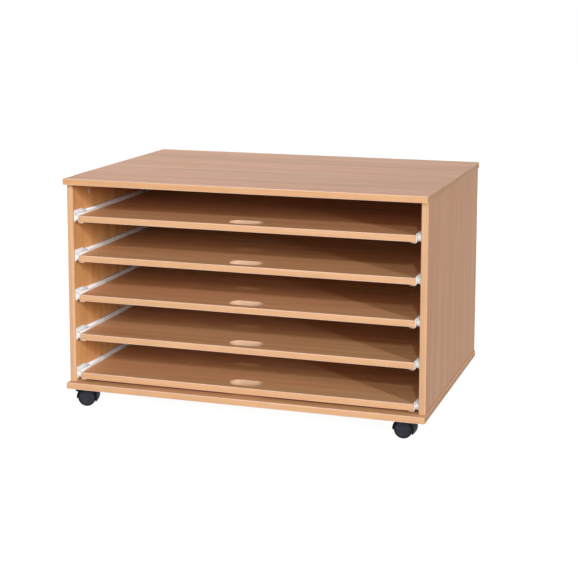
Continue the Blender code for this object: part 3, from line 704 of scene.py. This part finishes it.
def runnerPair(side, inward, shelf):
    number = shelf.split("_")[-1]
    cabinetNode, shelfNode, rollerNode = (
        f"{kind}_{side}_{number}" for kind in ("cabinet_runner", "shelf_runner", "front_roller"))
    panelLow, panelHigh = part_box(f"{side}_side_panel")
    railLow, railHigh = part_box(cabinetNode)
    panel = panelHigh.x if inward > 0 else panelLow.x
    length = railHigh.y - railLow.y
    place = np.array([panel, railLow.y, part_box(shelf)[0].z])
    axis, up, down, right = (inward, 0, 0), (0, 0, 1), (0, 0, -1), (1, 0, 0)
    foldedSheet(cabinetNode + "_channel", channelSkins(length), inward, place, "whiteEpoxy",
                "cabinet", cabinetNode)
    # the shelf's angle takes the greyed white coating: painted shade
    angle = foldedSheet(shelfNode + "_angle", angleSkins(length), inward, place, "greyedEpoxyPaintedShade",
                        shelf, shelfNode)
    secondLook(angle, "beigeCap", (0, -1, 0))

    def at(along, level, inwards=0.0):
        return place + (inward * inwards, along, level)

    front = at(roller["frontAxis"], roller["frontLevel"])
    rear = at(roller["rearAxis"], roller["rearLevel"])
    frontRivet = rivetProfile(rivet["channelWeb"], rivet["frontSeat"], rivet["frontEnd"])
    rearRivet = rivetProfile(rivet["angleWeb"], rivet["rearSeat"], rivet["rearEnd"])
    frontRoller = rollerProfile(roller["frontEnd"], 0)
    rearRoller = rollerProfile(roller["rearEnd"], roller["rearRecess"])
    for node, part, profile, origin, look, body, slot in (
            (rollerNode, "tyre", frontRoller, front, "whiteNylon", rollerNode, "roller_nylon"),
            (cabinetNode, "rivet", frontRivet, front, "zincPlate", "cabinet", "castor_steel"),
            (shelfNode, "roller", rearRoller, rear, "whiteNylon", shelf, "roller_nylon"),
            (shelfNode, "rivet", rearRivet, rear, "zincPlate", shelf, "castor_steel")):
        mesh = meshOf([turnedShell(profile, origin, axis, up)])
        newPiece(f"{node}_{part}", mesh, look, body, [node])
    web = channel["seat"] + runner["sheet"]
    heads = [screwHead(at(y, channel["screwLevel"], web), axis, up, channel["screwRadius"],
                       channel["screwRise"]) for y in channel["screws"]]
    newPiece(cabinetNode + "_screws", meshOf(heads), "zincPlate", "cabinet")
    under = angleRail["under"] - runner["sheet"]
    heads = [screwHead(at(y, under, angleRail["screwLine"]), down, right,
                       angleRail["screwRadius"], angleRail["screwRise"])
             for y in angleRail["screws"]]
    newPiece(shelfNode + "_screws", meshOf(heads), "zincPlate", shelf)


for shelf in shelfNames:
    for side, inward in inwardOf.items():
        runnerPair(side, inward, shelf)
print("runners:", 2 * len(shelfNames), "pairs with rollers, rivets and screws")


# Cam fittings that draw the top down onto the sides, and screws up through the base
fitting = {"radius": 0.0075, "rise": 0.0006, "recess": 0.8, "drop": 0.030, "frontInset": 0.102,
           "rearInset": 0.122, "screwRadius": 0.0048, "screwRise": 0.0004,
           "screwPlaces": (0.06, 0.24, 0.45, 0.63)}


def carcassFittings(side, inward):
    low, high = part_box(f"{side}_side_panel")
    face, level = (high.x if inward > 0 else low.x), high.z - fitting["drop"]
    cams = [screwHead((face, y, level), (inward, 0, 0), (0, 0, 1), fitting["radius"],
                      fitting["rise"], fitting["recess"])
            for y in (low.y + fitting["frontInset"], high.y - fitting["rearInset"])]
    newPiece(f"{side}_side_panel_cams", meshOf(cams), "castZinc", "cabinet")
    middle, under = (low.x + high.x) / 2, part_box("base_panel")[0].z
    screws = [screwHead((middle, low.y + y, under), (0, 0, -1), (1, 0, 0),
                        fitting["screwRadius"], fitting["screwRise"])
              for y in fitting["screwPlaces"]]
    newPiece(f"{side}_side_panel_base_screws", meshOf(screws), "zincPlate", "cabinet")


for side, inward in inwardOf.items():
    carcassFittings(side, inward)
print("fittings: cams and base screws")


# Castors, worked out about the swivel's foot on the floor: forwards, along the axle, up
castor = {"trail": 0.015, "wheel": 0.025, "leading": -28, "trailing": 189}  # metres and degrees
guard = {"outer": 0.0295, "inner": 0.0265, "half": 0.023, "crown": 0.0005, "edge": 0.0012,
         "ease": 0.0005, "endRound": 0.006, "endSteps": 7, "sweepSteps": 39, "edgeSteps": 4,
         "crownSteps": 12}
core = {"radius": 0.028, "half": 0.007, "ease": 0.0004, "steps": 48}
swivel = {"column": 0.0066, "low": 0.0372, "head": 0.011, "headLow": 0.0509, "lowEase": 0.0005,
          "headHigh": 0.0549, "highEase": 0.0006, "socket": 0.0043, "socketLow": 0.0374,
          "socketHigh": 0.07}
axle = {"radius": 0.003, "half": 0.019, "chamfer": 0.0004, "bore": 0.03, "steps": 32}
tyre = {"start": 0.0075, "width": 0.016, "radius": 0.025, "edge": 0.0005, "shoulder": 0.0025,
        "shoulderSteps": 8, "bore": 0.0033, "grooves": (0.0045, 0.0095), "grooveHalf": 0.0004,
        "grooveDepth": 0.0004, "recess": 0.0208, "recessEdge": 0.0004, "recessFloor": 0.0140,
        "steps": 96}
disc = {"seat": 0.00005, "radius": 0.0206, "rim": 0.0192, "rimEdge": 0.0006, "rimHigh": 0.0158,
        "dish": 0.0184, "faceHigh": 0.0155, "middle": 0.6, "middleDrop": 0.0002, "hub": 0.0055,
        "hubEdge": 0.0004, "hubDrop": 0.00025, "hubHigh": 0.0151}
pedal = {"angle": 150, "orbit": 0.0324, "barrel": 0.0026, "bore": 0.0017, "thick": 0.0035,
         "reach": 0.007, "half": 0.011, "ease": 0.0005, "steps": 48, "tabRays": (0.02, 0.7, 16),
         "pin": 0.0014, "pinChamfer": 0.0002, "earAt": 0.01255, "earThick": 0.0025,
         "earEase": 0.0003, "earSteps": 12}
plateScrew = {"reach": 0.021, "drop": 0.0028, "radius": 0.0042, "rise": 0.0003}
hub = np.array([-castor["trail"], 0, castor["wheel"]])
pedalAim = math.radians(pedal["angle"])


def guardShell():
    # a crowned section swept round the axle; its half width draws in over the round corners at
    # both ends
    g = guard
    span = math.radians(castor["trailing"] - castor["leading"])
    corner = g["endRound"] / g["outer"]
    near = corner * (1 - np.cos(np.radians(np.linspace(0, 90, g["endSteps"] + 1))))
    between = np.linspace(corner, span - corner, g["sweepSteps"] + 1)[1:-1]
    angle = np.concatenate([near, between, span - near[::-1]])
    toEnd = np.minimum(np.minimum(angle, span - angle) * g["outer"], g["endRound"])
    half = g["half"] - g["endRound"] + np.sqrt(g["endRound"] ** 2 - (g["endRound"] - toEnd) ** 2)
    bend = np.radians(np.linspace(0, 90, g["edgeSteps"] + 1))
    sweep = np.linspace(1, -1, g["crownSteps"] + 1)[1:-1]
    flank = np.ones(2 + len(bend))
    share = np.concatenate([flank, sweep, -flank])
    drawn = np.concatenate([[g["ease"], 0], g["edge"] * (1 - np.cos(bend))])
    inset = np.concatenate([drawn, np.full(len(sweep), g["edge"]), drawn[::-1]])
    shoulder = g["outer"] - g["crown"] - g["edge"]
    rising = np.concatenate([[g["inner"], g["inner"] + g["ease"]],
                             shoulder + g["edge"] * np.sin(bend)])
    radius = np.concatenate([rising, g["outer"] - g["crown"] * sweep ** 2, rising[::-1]])
    turn = (angle + math.radians(castor["leading"]))[:, None]
    across = share * (half[:, None] - inset)
    points = np.stack([radius * np.cos(turn), across, radius * np.sin(turn)], axis=2)
    return gridShell(points + hub, caps=True)


def flatShell(outline, half, ease, across=0.0):
    # an upright outline of (forwards, up) carried across, drawn in a little at both rims
    middle = outline.mean(axis=0)
    drawn = middle + (outline - middle) * (1 - ease / np.abs(outline - middle).max())
    low, high = across - half, across + half
    points = carried(outline, (0, 2), (low, low + ease, high - ease, high))
    points[[0, -1]] = carried(drawn, (0, 2), (low, high))
    return gridShell(points, caps=True)


def earShells():
    # two round-ended ears on the web: straight flanks out to the pin, and half a turn round it
    p = pedal
    along = np.array([math.cos(pedalAim), math.sin(pedalAim)])
    beside = np.array([-math.sin(pedalAim), math.cos(pedalAim)])
    ear = np.concatenate([[(core["radius"], -p["barrel"])],
                          arcOf((p["orbit"], 0), p["barrel"], -90, 90, p["earSteps"]),
                          [(core["radius"], p["barrel"])]])
    outline = hub[[0, 2]] + ear[:, :1] * along + ear[:, 1:] * beside
    return [flatShell(outline, p["earThick"] / 2, p["earEase"], across)
            for across in (-p["earAt"], p["earAt"])]


def hoodMesh(braked):
    # mudguard, middle web and swivel socket in one moulding, with ears for the pedal's pin where
    # there is a brake
    s, up, forwards = swivel, (0, 0, 1), (1, 0, 0)
    web = arcOf(hub[[0, 2]], core["radius"], castor["leading"], castor["trailing"], core["steps"])
    column = [(0, s["low"]), (s["column"], s["low"]), (s["column"], s["headLow"]),
              (s["head"] - s["lowEase"], s["headLow"]), (s["head"], s["headLow"] + s["lowEase"]),
              (s["head"], s["headHigh"] - s["highEase"]),
              (s["head"] - s["highEase"], s["headHigh"]), (0, s["headHigh"])]
    joins = [flatShell(web, core["half"], core["ease"]),
             turnedShell(column, (0, 0, 0), up, forwards)]
    if braked:
        joins += earShells()
    socket = [(0, s["socketLow"]), (s["socket"], s["socketLow"]),
              (s["socket"], s["socketHigh"]), (0, s["socketHigh"])]
    bore = [(0, -axle["bore"]), (axle["radius"], -axle["bore"]), (axle["radius"], axle["bore"]),
            (0, axle["bore"])]
    cuts = [turnedShell(socket, (0, 0, 0), up, forwards),
            turnedShell(bore, hub, (0, 1, 0), forwards)]
    return joinedMesh(meshOf([guardShell()]), [meshOf([shell]) for shell in joins],
                      [meshOf([shell]) for shell in cuts])


def rodShell(origin, radius, half, chamfer):
    # a round bar along the axle's direction, chamfered at both ends
    profile = [(0, -half), (radius - chamfer, -half), (radius, -half + chamfer),
               (radius, half - chamfer), (radius - chamfer, half), (0, half)]
    return turnedShell(profile, origin, (0, 1, 0), (1, 0, 0), axle["steps"])


def tyreProfile():
    # a tread with two fine grooves, a round shoulder, and a recess that takes the disc
    t = tyre
    radius, width, shoulder = t["radius"], t["width"], t["shoulder"]
    deep, half = radius - t["grooveDepth"], t["grooveHalf"]
    cut = ((radius, -2 * half), (deep, -half), (deep, half), (radius, 2 * half))
    grooves = [(reach, middle + step) for middle in t["grooves"] for reach, step in cut]
    return np.concatenate([
        [(t["bore"], 0), (radius - t["edge"], 0), (radius, t["edge"])], grooves,
        arcOf((radius - shoulder, width - shoulder), shoulder, 0, 90, t["shoulderSteps"]),
        [(t["recess"] + t["recessEdge"], width), (t["recess"], width - t["recessEdge"]),
         (t["recess"], t["recessFloor"]), (t["bore"], t["recessFloor"])],
    ])


def discProfile():
    # a disc with a raised rim, a shallow dished face and a flat hub
    d, low = disc, tyre["recessFloor"] + disc["seat"]
    return [(0, low), (d["radius"], low), (d["radius"], d["rimHigh"] - d["rimEdge"]),
            (d["radius"] - d["rimEdge"], d["rimHigh"]), (d["rim"], d["rimHigh"]),
            (d["dish"], d["faceHigh"]), (d["middle"] * d["dish"], d["faceHigh"] - d["middleDrop"]),
            (d["hub"] + d["hubEdge"], d["faceHigh"] - d["hubDrop"]), (d["hub"], d["hubHigh"]),
            (0, d["hubHigh"])]


def pedalShell(pin):
    # a ring round the pin: on each ray, from the bore out to the barrel or the round-ended tab,
    # across its width
    p = pedal
    tabRays = np.linspace(*p["tabRays"])
    angle = np.sort(np.concatenate([np.linspace(-math.pi, math.pi, p["steps"], endpoint=False),
                                    math.pi - tabRays, tabRays - math.pi]))
    tip = p["thick"] / 2
    tab = np.where(np.cos(angle) < 0, reachRoundEnd(angle, p["reach"] - tip, tip), 0)
    outer = np.maximum(tab, p["barrel"])
    hole = np.full(len(angle), p["bore"])
    eased = outer - p["ease"]
    reach = np.stack([hole, eased, outer, outer, eased, hole], axis=1)
    half, inset = p["half"], p["half"] - p["ease"]
    points = np.empty(reach.shape + (3,))
    points[:, :, 0] = reach * np.cos(angle)[:, None]
    points[:, :, 1] = (-half, -half, -inset, inset, half, half)
    points[:, :, 2] = reach * np.sin(angle)[:, None]
    return gridShell(points + pin, wrapRows=True)


def placeCastor(body):
    name = body.removeprefix("castor_")
    along = np.array(jointNamed[f"castor_wheel_far_{name}_spin"]["axis"])
    turn = np.stack([(along[1], -along[0], 0), along, (0, 0, 1)])
    foot = np.array(jointNamed[f"castor_swivel_{name}"]["pos_m"])
    braked = f"brake_pedal_{name}_tip" in jointNamed
    hoodNode, plateNode = f"castor_hood_{name}", f"castor_plate_{name}"
    pedalNode = f"brake_pedal_{name}"

    def placed(shell):
        return meshOf(moveShells([shell], turn, foot))

    hood = hoodMesh(braked)
    local = np.empty(3 * len(hood.vertices))
    hood.vertices.foreach_get("co", local)
    hood.vertices.foreach_set("co", (local.reshape(-1, 3) @ turn + foot).ravel())
    newPiece(hoodNode + "_moulding", hood, "blackMoulding", body, [hoodNode])
    rod = placed(rodShell(hub, axle["radius"], axle["half"], axle["chamfer"]))
    newPiece(hoodNode + "_axle", rod, "zincPlate", body, [hoodNode])
    for wheel, outward in (("near", -1), ("far", 1)):
        node = f"castor_wheel_{wheel}_{name}"
        face, spin = hub + (0, outward * tyre["start"], 0), (0, outward, 0)
        for part, profile, look in (("tyre", tyreProfile(), "wheelTread"),
                                    ("disc", discProfile(), "wheelDisc")):
            shell = turnedShell(profile, face, spin, (1, 0, 0), tyre["steps"])
            newPiece(f"{node}_{part}", placed(shell), look, node, [node])
    if braked:
        pin = hub + pedal["orbit"] * np.array([math.cos(pedalAim), 0, math.sin(pedalAim)])
        newPiece(pedalNode + "_lever", placed(pedalShell(pin)), "blackMoulding", pedalNode,
                 [pedalNode])
        pinHalf = pedal["earAt"] + pedal["earThick"] / 2
        rod = placed(rodShell(pin, pedal["pin"], pinHalf, pedal["pinChamfer"]))
        newPiece(hoodNode + "_pedal_pin", rod, "zincPlate", body, [hoodNode])
    dressNode(plateNode, "zincPlate")
    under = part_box("base_panel")[0].z - plateScrew["drop"]
    corners = (-plateScrew["reach"], plateScrew["reach"])
    heads = [screwHead((foot[0] + x, foot[1] + y, under), (0, 0, -1), (1, 0, 0),
                       plateScrew["radius"], plateScrew["rise"]) for x in corners for y in corners]
    newPiece(plateNode + "_screws", meshOf(heads), "zincPlate", "cabinet")


for body in castorNames:
    placeCastor(body)
print("castors:", ", ".join(castorNames))


# Stage: a white floor that keeps a soft shadow, a tall strip lamp and a small far lamp from the
# right, a broad low fill, and softer lamps over the top and behind
stage = {
    "floorSize": 30.0, "floorGlow": 0.95, "floorTone": (0.20, 0.20, 0.20),
    "floorBounce": (0.50, 0.495, 0.49), "ambient": 0.13,
}
lamps = {  # size is width and height in metres, or for a far lamp its width in degrees
    "strip": {"kind": "AREA", "place": (31.96, -24.76, 10.64), "aim": (0, -0.2, 0.4),
              "size": (1.6, 11.8), "power": 11200, "glossy": False},
    "far": {"kind": "SUN", "place": (1.02, -3.0, 2.125), "aim": (0, 0, 0.4),
            "size": (3.0, 3.0), "power": 0.82},
    "fill": {"kind": "AREA", "place": (-0.3, -3.6, 0.95), "aim": (0, -0.3, 0.35),
             "size": (2.0, 2.0), "power": 41, "glossy": False},  # without a reflection of its own
    "top": {"kind": "AREA", "place": (-0.7, 0.2, 2.0), "aim": (-0.6, 0.1, 0.65),
            "size": (1.2, 1.2), "power": 3.1},
    "rear": {"kind": "AREA", "place": (-1.8, 4.2, 0.9), "aim": (0, 0.3, 0.35),
             "size": (2.0, 2.0), "power": 85, "glossy": False},
}
view = {"place": (1.25856, -3.83075, 1.19846), "tilt": 81.753, "turn": 18.555, "lens": 88.635,
        "shift": (0.03203, -0.1833), "clipEnd": 200}


def seenDirectly(tree):
    # 1 where the camera, a reflection or clear glass looks, and 0 for light that bounces
    path = addNode(tree, "ShaderNodeLightPath")
    total = path.outputs["Is Camera Ray"]
    for name in ("Is Glossy Ray", "Is Transmission Ray"):
        made = addNode(tree, "ShaderNodeMath", {"operation": "MAXIMUM"})
        tree.links.new(total, made.inputs[0])
        tree.links.new(path.outputs[name], made.inputs[1])
        total = made.outputs[0]
    return total


def mixShaders(tree, factor, first, second, kind="ShaderNodeMixShader"):
    made = tree.nodes.new(kind)
    sockets = [socket for socket in made.inputs if socket.type == "SHADER"]
    tree.links.new(first, sockets[0])
    tree.links.new(second, sockets[1])
    if factor is not None:
        tree.links.new(factor, made.inputs["Fac"])
    return made.outputs[0]


def makeFloor():
    # a flat square grid at height nought
    half = stage["floorSize"] / 2
    line = np.linspace(-half, half, 3)
    x, y = np.meshgrid(line, line, indexing="ij")
    grid = np.stack([x, y, np.zeros_like(x)], axis=2)
    mesh = meshOf([gridShell(grid, wrapColumns=False)])
    material = bpy.data.materials.new("paleFloor")
    material.use_nodes = True
    tree = material.node_tree
    tree.nodes.remove(tree.nodes["Principled BSDF"])
    bounce, tone = (addNode(tree, "ShaderNodeBsdfDiffuse", Color=(*stage[key], 1.0)).outputs[0]
                    for key in ("floorBounce", "floorTone"))
    glow = addNode(tree, "ShaderNodeEmission", Strength=stage["floorGlow"]).outputs[0]
    shown = mixShaders(tree, None, glow, tone, "ShaderNodeAddShader")
    surface = mixShaders(tree, seenDirectly(tree), bounce, shown)
    tree.links.new(surface, tree.nodes["Material Output"].inputs["Surface"])
    mesh.materials.append(material)
    floor = bpy.data.objects.new("floor", mesh)
    bpy.context.scene.collection.objects.link(floor)


def makeWorld():
    world = bpy.data.worlds.new("studio")
    world.use_nodes = True
    bpy.context.scene.world = world
    tree = world.node_tree
    ambient, white = (
        addNode(tree, "ShaderNodeBackground", Color=(1, 1, 1, 1), Strength=strength).outputs[0]
        for strength in (stage["ambient"], 1.0))
    surface = mixShaders(tree, seenDirectly(tree), ambient, white)
    tree.links.new(surface, tree.nodes["World Output"].inputs["Surface"])


def makeLamp(name, kind, place, aim, size, power, glossy=True):
    light = bpy.data.lights.new(name, kind)
    light.energy = power
    if kind == "SUN":
        light.angle = math.radians(size[0])
    else:
        light.shape = "RECTANGLE"
        light.size, light.size_y = size
    holder = bpy.data.objects.new(name, light)
    holder.location = place
    facing = Vector(aim) - Vector(place)
    holder.rotation_euler = facing.to_track_quat("-Z", "Y").to_euler()
    holder.visible_camera = False
    holder.visible_glossy = glossy
    bpy.context.scene.collection.objects.link(holder)


def makeCamera():
    camera = bpy.data.cameras.new("camera")
    camera.lens = view["lens"]
    camera.shift_x, camera.shift_y = view["shift"]
    camera.clip_end = view["clipEnd"]
    holder = bpy.data.objects.new("camera", camera)
    holder.location = view["place"]
    holder.rotation_euler = (math.radians(view["tilt"]), 0, math.radians(view["turn"]))
    bpy.context.scene.collection.objects.link(holder)
    bpy.context.scene.camera = holder


makeFloor()
makeWorld()
for name, lamp in lamps.items():
    makeLamp(name, **lamp)
makeCamera()
bpy.context.scene.view_settings.view_transform = "Standard"
print("stage: floor, world, lamps and camera")
